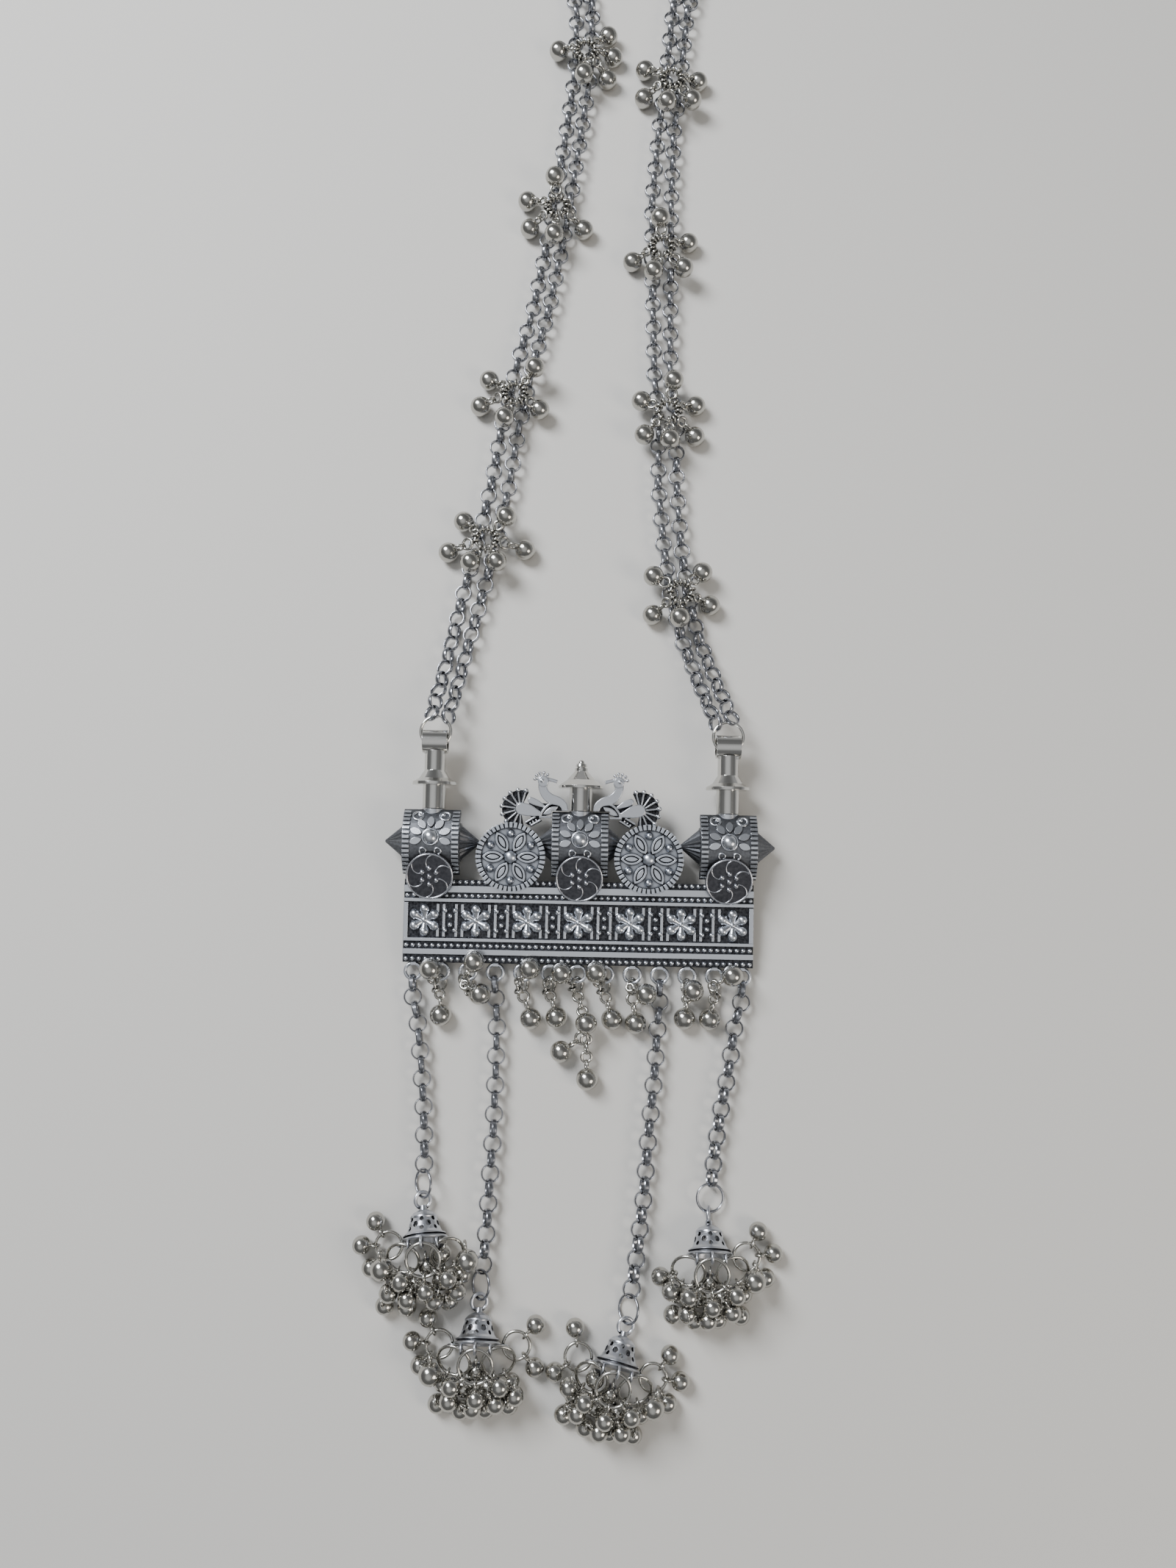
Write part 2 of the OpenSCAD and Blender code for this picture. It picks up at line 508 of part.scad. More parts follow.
module fringe_piece(f) color(silver) place() union() {
    x = (f[0] - 7) * loop_pitch;
    ring_at = [x, -14.2, 1.9];
    turn = 50;
    translate(ring_at) rotate([0, turn, 0]) wire_ring(4.2, eye_wire);
    for (b = f[1]) {
        over = b[1] > -17.5 && b[2] > 4 ? 1 : 0;
        from = over == 1
            ? ring_at + [-1.75 * cos(turn), 0, 1.75 * sin(turn)]
            : ring_at + [0, -1.75, 0];
        hang(b[1] < -28 ? [2.2, -25.2, 4] : from, b, bell_d);
    }
}

module drop_chain(i) color(silver) place() {
    route = drop_routes[i];
    reach = run(route, len(route) - 1);
    ring_gap = (link_od + end_ring_od - link_t - end_ring_wire) / 2 - (link_t + end_ring_wire) / 2 - 0.2;
    links = ceil((reach - ring_gap) / link_pitch) + 1;
    step = (reach - ring_gap) / (links - 1);
    upright = (links + 1) % 2;
    rise = upright * 0.5;
    for (k = [0 : links - 1]) {
        p = along(route, k * step);
        a = heading(along(route, max(k * step - 1.6, 0)), along(route, k * step + 1.6));
        roll = 90 * ((k + 1) % 2) - 20 * k / links;
        translate([p[0], p[1], chain_z + rise * max(0, 1 - (links - 1 - k) / 4)])
            rotate([0, 0, a]) rotate([roll, 0, 0]) chain_link();
    }
    last = route[len(route) - 1];
    a = heading(route[len(route) - 2], last);
    translate([last[0], last[1], chain_z + rise]) rotate([0, 0, a])
        rotate([upright == 1 ? 50 : -10, 0, 0]) wire_ring(end_ring_od, end_ring_wire);
}

// Bell cap on its side: the eye is at the origin and the mouth looks along -Y
cap_z = 2.1;
cap_rise = 19;
cap_eye_od = 4.2;
cap_top = -2.2;
cap_mouth = cap_top - cap_h;
rim_loop_od = 2.9;
rim_loop_wire = 0.6;
cap_outline = [
    [0, 0], [1.3, -0.05], [2.3, -0.6], [2.75, -1.1], [2.95, -1.3], [2.95, -1.6], [2.85, -1.8],
    [3.15, -2.6], [3.4, -3.6], [3.75, -4.4], [4.15, -4.9], [cap_r, -5.05], [cap_r + 0.1, -5.3],
    [cap_r - 0.25, -5.45], [cap_r - 0.25, -5.65], [cap_r + 0.35, -5.8], [cap_r + 0.45, -6.1],
    [cap_r + 0.25, -cap_h]
];
cap_inside = [
    [cap_r - 0.5, -cap_h], [3.6, -5.4], [2.9, -4.2], [2.4, -2.6], [1.9, -1.5], [0, -0.8]
];
module cap_spot(i) {
    route = drop_routes[i];
    last = route[len(route) - 1];
    a = heading(route[len(route) - 2], last);
    off = (end_ring_od + cap_eye_od - end_ring_wire - 0.8) / 2 - (end_ring_wire + 0.8) / 2 - 0.35;
    place() translate([last[0] + off * cos(a), last[1] + off * sin(a), 0]) rotate([0, 0, caps[i][0]])
        children();
}
module cap_place(i) cap_spot(i) translate([0, 0, cap_z]) rotate([-cap_rise, 0, 0]) children();

// Places something at a rim loop: Y stays along the axis, Z points away from it
module at_rim(r) {
    rotate([0, r[0], 0])
        if (r[3] == side_ring) translate([0, cap_mouth + 0.1, cap_r + 1.35]) children();
        else translate([0, cap_mouth - 0.9, cap_r + (r[0] == 0 ? 0.35 : -0.45)]) children();
}

module cap(i) color(silver) cap_place(i) union() {
    rotate([cap_rise, 0, 0]) rotate([0, caps[i][1], 0]) wire_ring(cap_eye_od, 0.8);
    translate([0, cap_top - 0.3, 0]) rod(1.3, 0.9, 0.7);
    translate([0, cap_top, 0]) rotate([-90, 0, 0]) difference() {
        rotate_extrude() polygon(concat(cap_outline, cap_inside));
        for (k = [0 : 6]) rotate([0, 0, 90 + 360 / 7 * k]) {
            translate([1.6, 0, -3.1]) rotate([0, 90, 0]) cylinder(h = 4, r = 0.62);
            rotate([0, 0, 180 / 7]) translate([1.6, 0, -2.1]) rotate([0, 90, 0]) cylinder(h = 4, r = 0.45);
            rotate([0, 0, 180 / 7]) translate([1.6, 0, -4]) rotate([0, 90, 0]) cylinder(h = 4, r = 0.45);
        }
    }
    for (r = caps[i][2])
        at_rim(r) rotate(r[3] == side_ring ? [90, 0, 0] : [0, 90 - r[0], 0])
            wire_ring(rim_loop_od, rim_loop_wire);
}

module bell_with_eye(d) {
    sphere(d = d);
    translate([0, d / 2 + 0.8, 0]) rotate([0, 90, 0]) wire_ring(2.6, 0.6);
}

module cap_bells(i) color(silver) {
    for (b = more_bells[i])
        cap_spot(i) translate([b[0], b[1], b[2]]) rotate([b[4], 0, 0]) union() bell_with_eye(b[3]);
    cap_place(i) for (r = caps[i][2])
        at_rim(r) translate(r[3] == side_ring ? [0, 0, 0.25] : [0, -0.2, 0]) rotate([0, -r[0], 0])
            rotate([cap_rise, 0, 0]) rotate([0, 0, r[1]]) rotate([r[2], 0, 0])
                translate([0, -r[3], 0]) {
                    wire_ring(2 * r[3] + eye_wire, eye_wire);
                    for (b = r[4])
                        rotate([0, 0, b]) translate([0, -r[3] - 1 - small_bell_d / 2, 0])
                            union() bell_with_eye(small_bell_d);
                }
}

bar();
drum(-drum_x);  // drum_left
drum(0);  // drum_centre
drum(drum_x);  // drum_right
rosette(-drum_x);  // rosette_left
rosette(0);  // rosette_centre
rosette(drum_x);  // rosette_right
medallion(-medal_x);  // medallion_left
medallion(medal_x);  // medallion_right
peacock(-1);  // peacock_left
peacock(1);  // peacock_right
stem(-drum_x);  // stem_left
stem(drum_x);  // stem_right
finial();
pendant_ring(-drum_x);  // ring_left
pendant_ring(drum_x);  // ring_right
strand_tube(left_pair, 1, 0, back_row);  // chain_left_a
strand_tube(left_pair, 1, back_row, len(left_pair) - 1);  // chain_left_a_back
strand_tube(left_pair, -1, 0, back_row);  // chain_left_b
strand_tube(left_pair, -1, back_row, len(left_pair) - 1);  // chain_left_b_back
strand_tube(right_pair, 1, 0, back_row);  // chain_right_a
strand_tube(right_pair, 1, back_row, len(right_pair) - 1);  // chain_right_a_back
strand_tube(right_pair, -1, 0, back_row);  // chain_right_b
strand_tube(right_pair, -1, back_row, len(right_pair) - 1);  // chain_right_b_back
clasp();
cluster(left_pair, clusters_left[0]);  // cluster_left_1
cluster(left_pair, clusters_left[1]);  // cluster_left_2
cluster(left_pair, clusters_left[2]);  // cluster_left_3
cluster(left_pair, clusters_left[3]);  // cluster_left_4
cluster(right_pair, clusters_right[0]);  // cluster_right_1
cluster(right_pair, clusters_right[1]);  // cluster_right_2
cluster(right_pair, clusters_right[2]);  // cluster_right_3
cluster(right_pair, clusters_right[3]);  // cluster_right_4
fringe_piece(fringe[0]);  // fringe_1
fringe_piece(fringe[1]);  // fringe_2
fringe_piece(fringe[2]);  // fringe_3
fringe_piece(fringe[3]);  // fringe_4
fringe_piece(fringe[4]);  // fringe_5
fringe_piece(fringe[5]);  // fringe_6
fringe_piece(fringe[6]);  // fringe_7
fringe_piece(fringe[7]);  // fringe_8
fringe_piece(fringe[8]);  // fringe_9
drop_chain(0);  // drop_chain_1
drop_chain(1);  // drop_chain_2
drop_chain(2);  // drop_chain_3
drop_chain(3);  // drop_chain_4
cap(0);  // cap_1
cap(1);  // cap_2
cap(2);  // cap_3
cap(3);  // cap_4
cap_bells(0);  // cap_bells_1
cap_bells(1);  // cap_bells_2
cap_bells(2);  // cap_bells_3
cap_bells(3);  // cap_bells_4
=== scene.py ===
import math
import random

import bmesh
import bpy
from mathutils import Matrix, Vector


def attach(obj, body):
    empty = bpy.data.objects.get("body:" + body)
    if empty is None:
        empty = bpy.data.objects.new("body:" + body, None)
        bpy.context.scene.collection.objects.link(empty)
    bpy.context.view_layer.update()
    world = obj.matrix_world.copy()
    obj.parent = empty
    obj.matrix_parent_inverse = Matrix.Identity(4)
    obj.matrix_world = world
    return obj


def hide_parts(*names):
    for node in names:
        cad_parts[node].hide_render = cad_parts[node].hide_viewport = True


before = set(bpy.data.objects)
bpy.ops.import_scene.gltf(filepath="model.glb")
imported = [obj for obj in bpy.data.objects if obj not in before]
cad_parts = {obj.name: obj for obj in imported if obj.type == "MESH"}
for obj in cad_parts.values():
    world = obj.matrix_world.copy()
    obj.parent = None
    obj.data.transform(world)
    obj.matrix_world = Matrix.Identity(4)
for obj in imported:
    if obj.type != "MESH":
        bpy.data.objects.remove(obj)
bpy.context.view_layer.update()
scene = bpy.context.scene
mm = 0.001
print("frame loaded")

# Helpers


def hexColor(text):
    parts = [int(text[i:i + 2], 16) / 255 for i in (1, 3, 5)]
    return [p / 12.92 if p <= 0.04045 else ((p + 0.055) / 1.055) ** 2.4 for p in parts] + [1.0]


def addNode(tree, kind, settings=None, inputs=None):
    node = tree.nodes.new(kind)
    for key, value in (settings or {}).items():
        setattr(node, key, value)
    for key, value in (inputs or {}).items():
        if isinstance(value, bpy.types.NodeSocket):
            tree.links.new(value, node.inputs[key])
        else:
            node.inputs[key].default_value = value
    return node


def startMaterial(name):
    made = bpy.data.materials.new(name)
    made.use_nodes = True
    made.node_tree.nodes.clear()
    return made, made.node_tree


def finishPiece(name, bm, material, smooth=True):
    bmesh.ops.recalc_face_normals(bm, faces=bm.faces)
    mesh = bpy.data.meshes.new(name)
    bm.to_mesh(mesh)
    bm.free()
    for face in mesh.polygons:
        face.use_smooth = smooth
    mesh.materials.append(material)
    piece = bpy.data.objects.new(name, mesh)
    scene.collection.objects.link(piece)
    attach(piece, "root")
    return piece


# How the pendant lies: middle of the row's frame, and its lean about the line below the bar
pendant = {"middle": (0.3, 126.2), "lean": 6.8, "hinge": (-13.8, 1.3)}
leanSin = math.sin(math.radians(pendant["lean"]))
leanCos = math.cos(math.radians(pendant["lean"]))


def pendantPoint(x, y, z):
    away = y - pendant["hinge"][0]
    return Vector((x - pendant["middle"][0],
                   pendant["hinge"][0] + away * leanCos - z * leanSin - pendant["middle"][1],
                   pendant["hinge"][1] + away * leanSin + z * leanCos)) * mm


# Materials. Each metal has a polished tone, a darker tone for its recesses and the height at which
# one turns into the other. The darker tone is laid on by occlusion as painted shade, and on the oxidised
# metals it also stands for their black patina. Sizes are in millimetres, tilts in degrees
wearAndShade = {"detail": 3.0, "mottle": 0.24, "dent": 0.05, "shadeSamples": 8, "edgeSamples": 4}


def heightAbove(tree, base, tilt):
    coords = addNode(tree, "ShaderNodeTexCoord").outputs["Object"]
    away = addNode(tree, "ShaderNodeVectorMath", {"operation": "SUBTRACT"}, {0: coords, 1: base})
    turn = math.radians(tilt)
    dot = addNode(tree, "ShaderNodeVectorMath", {"operation": "DOT_PRODUCT"},
                  {0: away.outputs[0], 1: (0, -math.sin(turn), math.cos(turn))})
    return dot.outputs["Value"]


def distanceFromAxis(tree, base):  # the axis runs along X
    coords = addNode(tree, "ShaderNodeTexCoord").outputs["Object"]
    away = addNode(tree, "ShaderNodeVectorMath", {"operation": "SUBTRACT"}, {0: coords, 1: base})
    flat = addNode(tree, "ShaderNodeVectorMath", {"operation": "MULTIPLY"},
                   {0: away.outputs[0], 1: (0, 1, 1)})
    size = addNode(tree, "ShaderNodeVectorMath", {"operation": "LENGTH"}, {0: flat.outputs[0]})
    return size.outputs["Value"]


def makeMetal(look):
    made, tree = startMaterial(look["name"])
    coords = addNode(tree, "ShaderNodeTexCoord").outputs["Object"]
    grain = addNode(tree, "ShaderNodeTexNoise", None,
                    {"Vector": coords, "Scale": 1 / (look["grain"] * mm), "Detail": wearAndShade["detail"]})
    # Occlusion pulls the colour towards the recess tone: painted shade in hollows and where parts crowd
    # together, which on the oxidised metals also stands for their black patina
    shade = addNode(tree, "ShaderNodeAmbientOcclusion", {"samples": wearAndShade["shadeSamples"]},
                    {"Distance": look["reach"] * mm})
    lit = addNode(tree, "ShaderNodeMapRange", None,
                  {"Value": shade.outputs["AO"], "From Min": look["shut"][0], "From Max": look["shut"][1]})
    clear = lit.outputs["Result"]
    if "plane" in look or "axis" in look:
        if "plane" in look:
            height = heightAbove(tree, look["plane"], look["tilt"])
        else:
            height = distanceFromAxis(tree, look["axis"])
        raised = addNode(tree, "ShaderNodeMapRange", None,
                         {"Value": height, "From Min": look["low"] * mm, "From Max": look["high"] * mm,
                          "To Min": look["field"]})
        if "bright" in look:  # the loops below this line are raised work too
            split = addNode(tree, "ShaderNodeSeparateXYZ", None, {0: coords})
            below = addNode(tree, "ShaderNodeMath", {"operation": "LESS_THAN"},
                            {0: split.outputs["Y"], 1: look["bright"]})
            raised = addNode(tree, "ShaderNodeMapRange", None,
                             {"Value": below.outputs[0], "To Min": raised.outputs["Result"]})
        both = addNode(tree, "ShaderNodeMath", {"operation": "MULTIPLY"},
                       {0: clear, 1: raised.outputs["Result"]})
        clear = both.outputs[0]
    mottled = addNode(tree, "ShaderNodeMath", {"operation": "MULTIPLY_ADD", "use_clamp": True},
                      {0: grain.outputs["Fac"], 1: wearAndShade["mottle"], 2: clear})
    paintedShadePatinaAndMottle = addNode(tree, "ShaderNodeMath", {"operation": "SUBTRACT", "use_clamp": True},
                   {0: mottled.outputs[0], 1: wearAndShade["mottle"] / 2})
    tone = addNode(tree, "ShaderNodeMix", {"data_type": "RGBA"},
                   {0: paintedShadePatinaAndMottle.outputs[0], 6: hexColor(look["recess"]), 7: hexColor(look["tone"])})
    rough = addNode(tree, "ShaderNodeMapRange", None,
                    {"Value": paintedShadePatinaAndMottle.outputs[0], "To Min": look["dull"], "To Max": look["shine"]})
    soft = addNode(tree, "ShaderNodeBevel", {"samples": wearAndShade["edgeSamples"]},
                   {"Radius": look["edge"] * mm})
    bump = addNode(tree, "ShaderNodeBump", None,
                   {"Height": grain.outputs["Fac"], "Strength": look["bump"],
                    "Distance": wearAndShade["dent"] * mm, "Normal": soft.outputs["Normal"]})
    body = addNode(tree, "ShaderNodeBsdfPrincipled", None,
                   {"Base Color": tone.outputs[2], "Roughness": rough.outputs["Result"],
                    "Metallic": 1.0, "Normal": bump.outputs["Normal"]})
    addNode(tree, "ShaderNodeOutputMaterial", None, {"Surface": body.outputs["BSDF"]})
    return made


# Oxidised German silver of the bar: white raised work over a blackened field
barSilver = makeMetal({
    "name": "oxidised German silver, bar", "tone": "#dfe3ea", "recess": "#17171c",
    "shine": 0.24, "dull": 0.5, "grain": 0.5, "bump": 0.12, "reach": 0.6, "shut": (0.05, 0.3), "edge": 0.14,
    "plane": pendantPoint(0, 0, 0), "tilt": pendant["lean"], "low": 1.2, "high": 1.32, "field": 0.05,
    "bright": pendantPoint(0, -9.6, 0).y,
})
# The drums' curved fronts: grey field with white petals and rope edges
drumSilver = makeMetal({
    "name": "oxidised German silver, drum", "tone": "#dfe3ea", "recess": "#1b1b1f",
    "shine": 0.24, "dull": 0.46, "grain": 0.5, "bump": 0.12, "reach": 1.2, "shut": (0.3, 0.75), "edge": 0.16,
    "axis": pendantPoint(0, 18, -4.87), "low": 9.42, "high": 9.55, "field": 0.2,
})
# Medallions: pale, lightly hammered field, black only in the grooves
discSilver = makeMetal({
    "name": "oxidised German silver, medallion", "tone": "#d9dfe9", "recess": "#16161b",
    "shine": 0.27, "dull": 0.45, "grain": 0.7, "bump": 0.5, "reach": 0.7, "shut": (0.55, 0.9), "edge": 0.16,
    "plane": pendantPoint(0, 14.9, 1.95), "tilt": pendant["lean"], "low": 0.95, "high": 1.2, "field": 0.6,
})
# Peacocks: white line work over a black sheet
birdSilver = makeMetal({
    "name": "oxidised German silver, peacock", "tone": "#dde0e6", "recess": "#141418",
    "shine": 0.2, "dull": 0.5, "grain": 0.5, "bump": 0.1, "reach": 0.7, "shut": (0.3, 0.6), "edge": 0.4,
    "plane": pendantPoint(0, 0, 0), "tilt": pendant["lean"], "low": 1.2, "high": 1.45, "field": 0.03,
})
# Rosettes: blackened silver with only the balls and scroll ridges rubbed bright
darkSilver = makeMetal({
    "name": "blackened silver, rosette", "tone": "#c9cbd2", "recess": "#2b2b31",
    "shine": 0.25, "dull": 0.36, "grain": 0.8, "bump": 0.5, "reach": 0.6, "shut": (0.3, 0.6), "edge": 0.15,
    "plane": pendantPoint(0, 11.2, 0), "tilt": pendant["lean"] + 13.7,
    "low": 4.33, "high": 4.44, "field": 0.12,
})
# Turned tubes, discs and rings: smooth, bright and nearly white, with painted shade where they meet other
# parts
plainSilver = makeMetal({
    "name": "polished German silver, turned", "tone": "#dcdbd7", "recess": "#34343a",
    "shine": 0.13, "dull": 0.3, "grain": 2.0, "bump": 0.03, "reach": 1.0, "shut": (0.1, 0.5), "edge": 0.12,
})
# Chains: darker plating; painted shade darkens the links where they crowd each other, leaving their edges
# bright
chainSilver = makeMetal({
    "name": "gunmetal plated chain", "tone": "#a9abb1", "recess": "#1d1d21",
    "shine": 0.2, "dull": 0.4, "grain": 1.2, "bump": 0.05, "reach": 1.3, "shut": (0.25, 0.75), "edge": 0.15,
})
# Ball bells: warm grey, mirror-like, with painted shade darkening them where they crowd each other
bellSilver = makeMetal({
    "name": "polished white metal, bells", "tone": "#c3c1bb", "recess": "#23221f",
    "shine": 0.17, "dull": 0.35, "grain": 1.5, "bump": 0.04, "reach": 1.2, "shut": (0.15, 0.65), "edge": 0.05,
})
# Bell caps: pierced cast silver, black in its openings from patina and from painted shade inside the hollow
capSilver = makeMetal({
    "name": "oxidised German silver, cap", "tone": "#d2d5dc", "recess": "#15151a",
    "shine": 0.25, "dull": 0.5, "grain": 0.5, "bump": 0.15, "reach": 1.6, "shut": (0.5, 0.9), "edge": 0.15,
})
looks = {
    "bar": barSilver, "drum_": drumSilver, "medallion_": discSilver, "peacock_": birdSilver,
    "rosette_": darkSilver, "stem_": plainSilver, "finial": plainSilver, "ring_": plainSilver,
    "chain_": chainSilver, "drop_chain_": chainSilver, "clasp": chainSilver,
    "cluster_": bellSilver, "fringe_": bellSilver, "cap_bells_": bellSilver, "cap_": capSilver,
}
for name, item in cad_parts.items():
    best = max((key for key in looks if name.startswith(key)), key=len)
    item.data.materials.clear()
    item.data.materials.append(looks[best])
print("materials made")

# Double chain: flat-wire links along the same routes as the solid strands.
# Rows hold x, y and z of a pair's middle and the distance between its two strands
chainLook = {
    "outer": 4.2, "thick": 0.42, "width": 1.3, "pitch": 3.22, "steps": 16, "sides": 6,
    "waver": 9, "rolled": 14,  # degrees either way, and the links over which the roll fades
    "left": [
        (-33.2, 47.4, 7.2, 3.9), (-31.3, 58, 3.4, 4), (-29.6, 67, 2.2, 4.2), (-26.8, 80, 2.2, 4.6),
        (-23.8, 93, 2.2, 4.6), (-21.2, 108, 2.2, 4.4), (-19.4, 122, 2.2, 4.2),
        (-16.4, 138, 2.2, 4), (-12.6, 154, 2.2, 4), (-9.9, 170, 2.2, 4), (-7.4, 188, 2.2, 4),
        (-5.2, 206, 2.2, 4), (-3.4, 222, 2.2, 4.1), (-3.2, 241, 2.2, 4.3), (-7, 258, 2.2, 4.3),
        (-15.5, 276, 2.2, 4.3), (-23.5, 296, 2.2, 4.3), (-26, 316, 2.2, 4.3),
        (-21.5, 336, 2.2, 4.3), (-9.5, 350, 2.2, 4.3), (3.6, 355.5, 2.2, 4),
    ],
    "right": [
        (32.9, 47.3, 7.2, 3.9), (29.6, 57, 3.4, 4), (25.6, 68, 2.2, 4), (22.6, 80, 2.2, 4.2),
        (20.9, 93, 2.2, 4.3), (19.7, 108, 2.2, 4.6), (19.6, 124, 2.2, 4.3), (18.2, 138, 2.2, 4.1),
        (18, 152, 2.2, 4.4), (17.7, 170, 2.2, 4.8), (17.7, 186, 2.2, 5), (18.8, 206, 2.2, 4),
        (20.3, 220, 2.2, 4), (22.1, 241, 2.2, 4), (26, 258, 2.2, 4.3), (34.5, 276, 2.2, 4.3),
        (42.5, 296, 2.2, 4.3), (45, 316, 2.2, 4.3), (40.5, 336, 2.2, 4.3),
        (28.5, 350, 2.2, 4.3), (15.4, 355.5, 2.2, 4),
    ],
    # Node, rows, side, phase and the roll of its links at the pendant in degrees
    "strands": [
        ("chain_left_a", "left", 1, 0, 40), ("chain_left_b", "left", -1, 1, 40),
        ("chain_right_a", "right", 1, 1, -35), ("chain_right_b", "right", -1, 0, -35),
    ],
}


def strandPoints(rows, side):
    points = []
    for i, row in enumerate(rows):
        before, after = rows[max(i - 1, 0)], rows[min(i + 1, len(rows) - 1)]
        turn = math.atan2(after[1] - before[1], after[0] - before[0]) + math.pi / 2
        points.append(Vector((row[0] + side * row[3] / 2 * math.cos(turn) - pendant["middle"][0],
                              row[1] + side * row[3] / 2 * math.sin(turn) - pendant["middle"][1],
                              row[2])))
    return points


def evenPoints(points, pitch):
    lengths = [(b - a).length for a, b in zip(points, points[1:])]
    count = round(sum(lengths) / pitch)
    step = sum(lengths) / count
    placed = []
    for k in range(count + 1):
        left, i = k * step, 0
        while i < len(lengths) - 1 and left > lengths[i]:
            left -= lengths[i]
            i += 1
        placed.append(points[i].lerp(points[i + 1], min(left / lengths[i], 1)))
    return placed


def linkMesh(look):
    bm = bmesh.new()
    section, weld = 1, 0.01  # a round of 1 mm is squeezed to the wire's section
    mean = (look["outer"] - look["thick"]) / 2 * mm
    narrow = math.cos(math.pi / look["sides"])  # a flat side of the section faces outward
    bmesh.ops.create_circle(bm, segments=look["sides"], radius=section / 2 * mm)
    shape = (Matrix.Translation((mean, 0, 0)) @ Matrix.Rotation(math.radians(90), 4, "X")
             @ Matrix.Diagonal((look["thick"] / narrow, look["width"], 1, 1)))
    bmesh.ops.transform(bm, matrix=shape, verts=bm.verts)
    bmesh.ops.spin(bm, geom=bm.verts[:] + bm.edges[:], axis=(0, 0, 1), cent=(0, 0, 0),
                   angle=2 * math.pi, steps=look["steps"], use_merge=True)
    bmesh.ops.remove_doubles(bm, verts=bm.verts, dist=weld * mm)
    mesh = bpy.data.meshes.new("link")
    bm.to_mesh(mesh)
    bm.free()
    return mesh


def addCopy(bm, mesh, place):
    turned = mesh.copy()
    turned.transform(place)
    bm.from_mesh(turned)
    bpy.data.meshes.remove(turned)


def linkPlace(points, k, roll):
    tangent = (points[min(k + 1, len(points) - 1)] - points[max(k - 1, 0)]).normalized()
    across = Vector((0, 0, 1)).cross(tangent).normalized()
    upward = tangent.cross(across)
    normal = upward * math.cos(roll) + across * math.sin(roll)
    third = normal.cross(tangent)
    turn = Matrix((tangent, third, normal)).transposed().to_4x4()
    return Matrix.Translation(points[k] * mm) @ turn


link = linkMesh(chainLook)
for node, rows, side, phase, roll in chainLook["strands"]:
    rng = random.Random(node)
    points = evenPoints(strandPoints(chainLook[rows], side), chainLook["pitch"])
    bm = bmesh.new()
    for k in range(len(points)):
        lean = roll * max(0, 1 - k / chainLook["rolled"]) + rng.uniform(-1, 1) * chainLook["waver"]
        addCopy(bm, link, linkPlace(points, k, math.radians(90 * ((k + phase) % 2) + lean)))
    piece = finishPiece(node + "_links", bm, chainSilver)
    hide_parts(node, node + "_back")
print("chains made")

# Small jump rings that ride on the rings of the clusters and of the fringe, and more ball bells
# between the rings of the caps: too many to be solids of their own
jumpLook = {
    "outer": 2.25, "thick": 0.55, "width": 0.55, "steps": 18, "sides": 8, "out": 0.12, "up": 0.05,
    "clusterRing": 2.5, "clusterHeight": 5.475,
    # Middle of a cluster's ring and the turns of its jump rings in degrees
    "clusters": [
        ((-24.2, 91.5), (20, 80, 105, 165, 270, 325)),
        ((-18.4, 129.5), (0, 25, 85, 115, 170, 225, 280, 305)),
        ((-9, 181), (0, 30, 65, 125, 185, 240, 295)),
        ((-2.6, 226.5), (75, 105, 135, 190, 215, 240, 340)),
        ((23, 79), (15, 70, 95, 120, 180, 240, 290, 320)),
        ((19.6, 125.6), (50, 120, 190, 300, 355)),
        ((17.7, 170.3), (60, 120, 145, 175, 225, 285, 350)),
        ((19.9, 218.6), (45, 80, 110, 175, 235, 285, 345)),
    ],
    "fringeRing": 1.75, "fringeAt": (-14.2, 1.9), "fringeTurn": 50,
    "loopPitch": 6.27, "middleLoop": 7,
    # Number of the bar's loop and the place round its ring in degrees
    "fringe": [(2, -132), (3, -84), (5, -132), (6, -130), (7, -156), (7, 168), (8, -140), (12, -60)],
}


def placed(x, y, z):
    return Matrix.Translation(Vector((x - pendant["middle"][0], y - pendant["middle"][1], z)) * mm)


def spun(degrees, axis):
    return Matrix.Rotation(math.radians(degrees), 4, axis)


def hung(reach):  # a small ring at this reach along X, on edge
    return Matrix.Translation(Vector((reach, 0, 0)) * mm) @ spun(90, "X")


jump = linkMesh(jumpLook)
bm = bmesh.new()
for (x, y), turns in jumpLook["clusters"]:
    middle = placed(x, y, jumpLook["clusterHeight"] + jumpLook["up"])
    for turn in turns:
        addCopy(bm, jump, middle @ spun(turn, "Z") @ hung(jumpLook["clusterRing"] + jumpLook["out"]))
finishPiece("cluster_jump_rings", bm, bellSilver)
bm = bmesh.new()
for loop, turn in jumpLook["fringe"]:
    middle = placed((loop - jumpLook["middleLoop"]) * jumpLook["loopPitch"], *jumpLook["fringeAt"])
    addCopy(bm, jump, middle @ spun(jumpLook["fringeTurn"], "Y") @ spun(turn, "Z")
            @ hung(jumpLook["fringeRing"] + jumpLook["out"]))
finishPiece("fringe_jump_rings", bm, bellSilver)

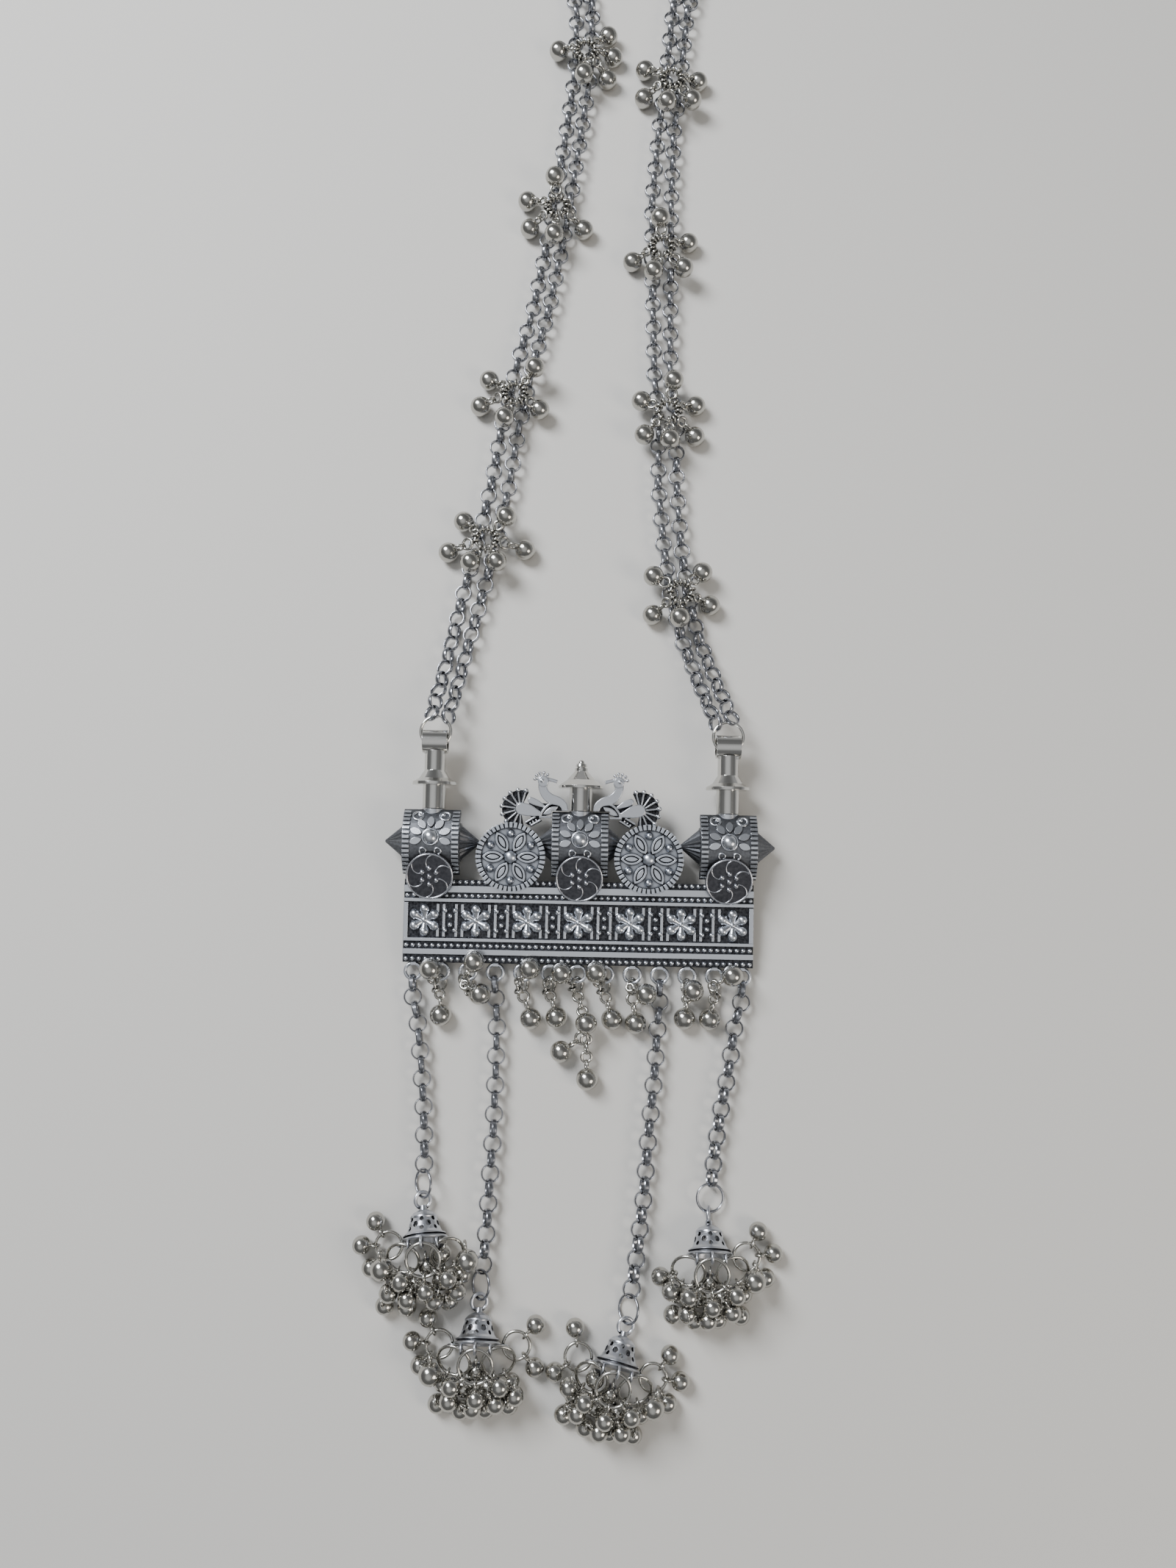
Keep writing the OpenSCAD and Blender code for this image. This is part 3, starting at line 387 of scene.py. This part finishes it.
capLook = {
    "bell": 4.1, "round": 4, "eyeBeyond": 0.7,  # the eye's middle lies this far past the ball
    "eye": {"outer": 2.3, "thick": 0.5, "width": 0.5, "steps": 16, "sides": 8},
    # Eye of the cap, its turn, then x, y and z of each bell from it and the turn and rise of its eye
    "caps": [
        ((-33.2, -61.65), 8, [(0, -13.5, 4.2, 90, 30), (1, -20.5, 5.7, 60, 30), (-4.5, -19, 7.6, 60, 30),
                              (6, -19, 6.2, 60, 30), (-8.5, -17.5, 6.9, 90, 60), (3.5, -11, 5.8, 60, 45)]),
        ((-19.96, -82.64), 0, [(0, -13.5, 4.2, 90, 30), (-0.5, -20.5, 5.5, 150, 45),
                               (4.5, -19, 7.3, 120, 30), (-5.5, -19, 6.3, 120, 15),
                               (8.5, -17.5, 6.9, 90, 30)]),
        ((12.06, -87.01), -14, [(0, -13.5, 4.3, 90, 30), (-0.5, -21, 5.9, 150, 30),
                                (4, -19.5, 7.1, 120, 30), (-6, -18.5, 6.3, 150, 30),
                                (-9, -14, 6.4, 90, 30), (-4, -11, 6, 120, 45)]),
        ((30.04, -63.63), 0, [(0, -13.5, 4.2, 90, 30), (-0.5, -21, 6, 30, 45), (4.5, -19, 7.3, 120, 30),
                              (-5, -19.5, 6.9, 90, 90), (-8.5, -15, 6.9, 90, 30)]),
    ],
}
eye = linkMesh(capLook["eye"])
bm = bmesh.new()
for (capX, capY), capTurn, bells in capLook["caps"]:
    for x, y, z, turn, rise in bells:
        at = placed(capX, capY, 0) @ spun(capTurn, "Z") @ Matrix.Translation(Vector((x, y, z)) * mm)
        bmesh.ops.create_icosphere(bm, subdivisions=capLook["round"],
                                   radius=capLook["bell"] / 2 * mm, matrix=at)
        addCopy(bm, eye, at @ spun(turn, "Z") @ spun(-rise, "Y")
                @ hung(capLook["bell"] / 2 + capLook["eyeBeyond"]))
finishPiece("more_cap_bells", bm, bellSilver)
print("small rings and bells made")

# Surface and light
floorLook = {"size": 14, "tone": "#d6d4cf", "rough": 0.85}
floorMaterial, floorTree = startMaterial("pale matt board")  # plain ground that lets the metal read
floorBody = addNode(floorTree, "ShaderNodeBsdfPrincipled", None,
                    {"Base Color": hexColor(floorLook["tone"]), "Roughness": floorLook["rough"]})
addNode(floorTree, "ShaderNodeOutputMaterial", None, {"Surface": floorBody.outputs["BSDF"]})
floorShape = bmesh.new()
bmesh.ops.create_grid(floorShape, x_segments=1, y_segments=1, size=floorLook["size"] / 2)
floorMesh = bpy.data.meshes.new("floor")
floorShape.to_mesh(floorMesh)
floorShape.free()
floorMesh.materials.append(floorMaterial)
floor = bpy.data.objects.new("floor", floorMesh)
scene.collection.objects.link(floor)

world = bpy.data.worlds.new("studio")
scene.world = world
world.use_nodes = True
world.node_tree.nodes.clear()
# A bright soft ceiling above the pendant, grey walls and a pale horizon, for the metal to mirror
ceiling = {"towards": (-0.12, -0.22, 0.97), "tint": (0.97, 0.985, 1),
           "stops": [(0, 0.42), (0.25, 0.16), (0.8, 0.2), (0.93, 0.62), (1, 0.72)]}
aim = addNode(world.node_tree, "ShaderNodeTexCoord")
height = addNode(world.node_tree, "ShaderNodeVectorMath", {"operation": "DOT_PRODUCT"},
                 {0: aim.outputs["Generated"], 1: Vector(ceiling["towards"]).normalized()})
ramp = addNode(world.node_tree, "ShaderNodeValToRGB", None, {"Fac": height.outputs["Value"]})
for i, (place, level) in enumerate(ceiling["stops"]):
    stop = ramp.color_ramp.elements[i] if i < 2 else ramp.color_ramp.elements.new(place)
    stop.position = place
    stop.color = [level * part for part in ceiling["tint"]] + [1]
sky = addNode(world.node_tree, "ShaderNodeBackground", None,
              {"Color": ramp.outputs["Color"], "Strength": 1.0})
addNode(world.node_tree, "ShaderNodeOutputWorld", None, {"Surface": sky.outputs["Background"]})

lampAim = Vector((0, -0.1, 0))
lamps = [
    {"name": "window", "at": (-0.42, 0.3, 0.62), "size": (0.28, 0.4), "power": 9, "tone": "#f7faff"},
    {"name": "fill", "at": (0.55, -0.4, 0.5), "size": (0.3, 0.3), "power": 2.0, "tone": "#fff6ea"},
]
for lamp in lamps:
    data = bpy.data.lights.new(lamp["name"], "AREA")
    data.shape = "RECTANGLE"
    data.size, data.size_y = lamp["size"]
    data.energy = lamp["power"]
    data.color = hexColor(lamp["tone"])[:3]
    item = bpy.data.objects.new(lamp["name"], data)
    item.location = lamp["at"]
    item.rotation_euler = (Vector(lamp["at"]) - lampAim).to_track_quat("Z", "Y").to_euler()
    scene.collection.objects.link(item)

# Camera as in the picture: close above the chains, tipped ten degrees down the necklace
view = {"at": (1.28, -141.7, 274.6), "tip": 10, "turn": 1.1, "lens": 27, "film": 36, "near": 1}
tip, turn = math.radians(view["tip"]), math.radians(view["turn"])
forward = Vector((0, math.sin(tip), -math.cos(tip)))
upward = Vector((0, math.cos(tip), math.sin(tip)))
sideways = Vector((1, 0, 0))
camRight = math.cos(turn) * sideways + math.sin(turn) * upward
camUp = math.cos(turn) * upward - math.sin(turn) * sideways
camera = bpy.data.objects.new("camera", bpy.data.cameras.new("camera"))
camera.matrix_world = (Matrix.Translation(Vector(view["at"]) * mm)
                       @ Matrix((camRight, camUp, -forward)).transposed().to_4x4())
camera.data.sensor_fit = "VERTICAL"
camera.data.sensor_height = view["film"]
camera.data.lens = view["lens"]
camera.data.clip_start = view["near"] * mm
scene.collection.objects.link(camera)
scene.camera = camera
print("stage set")
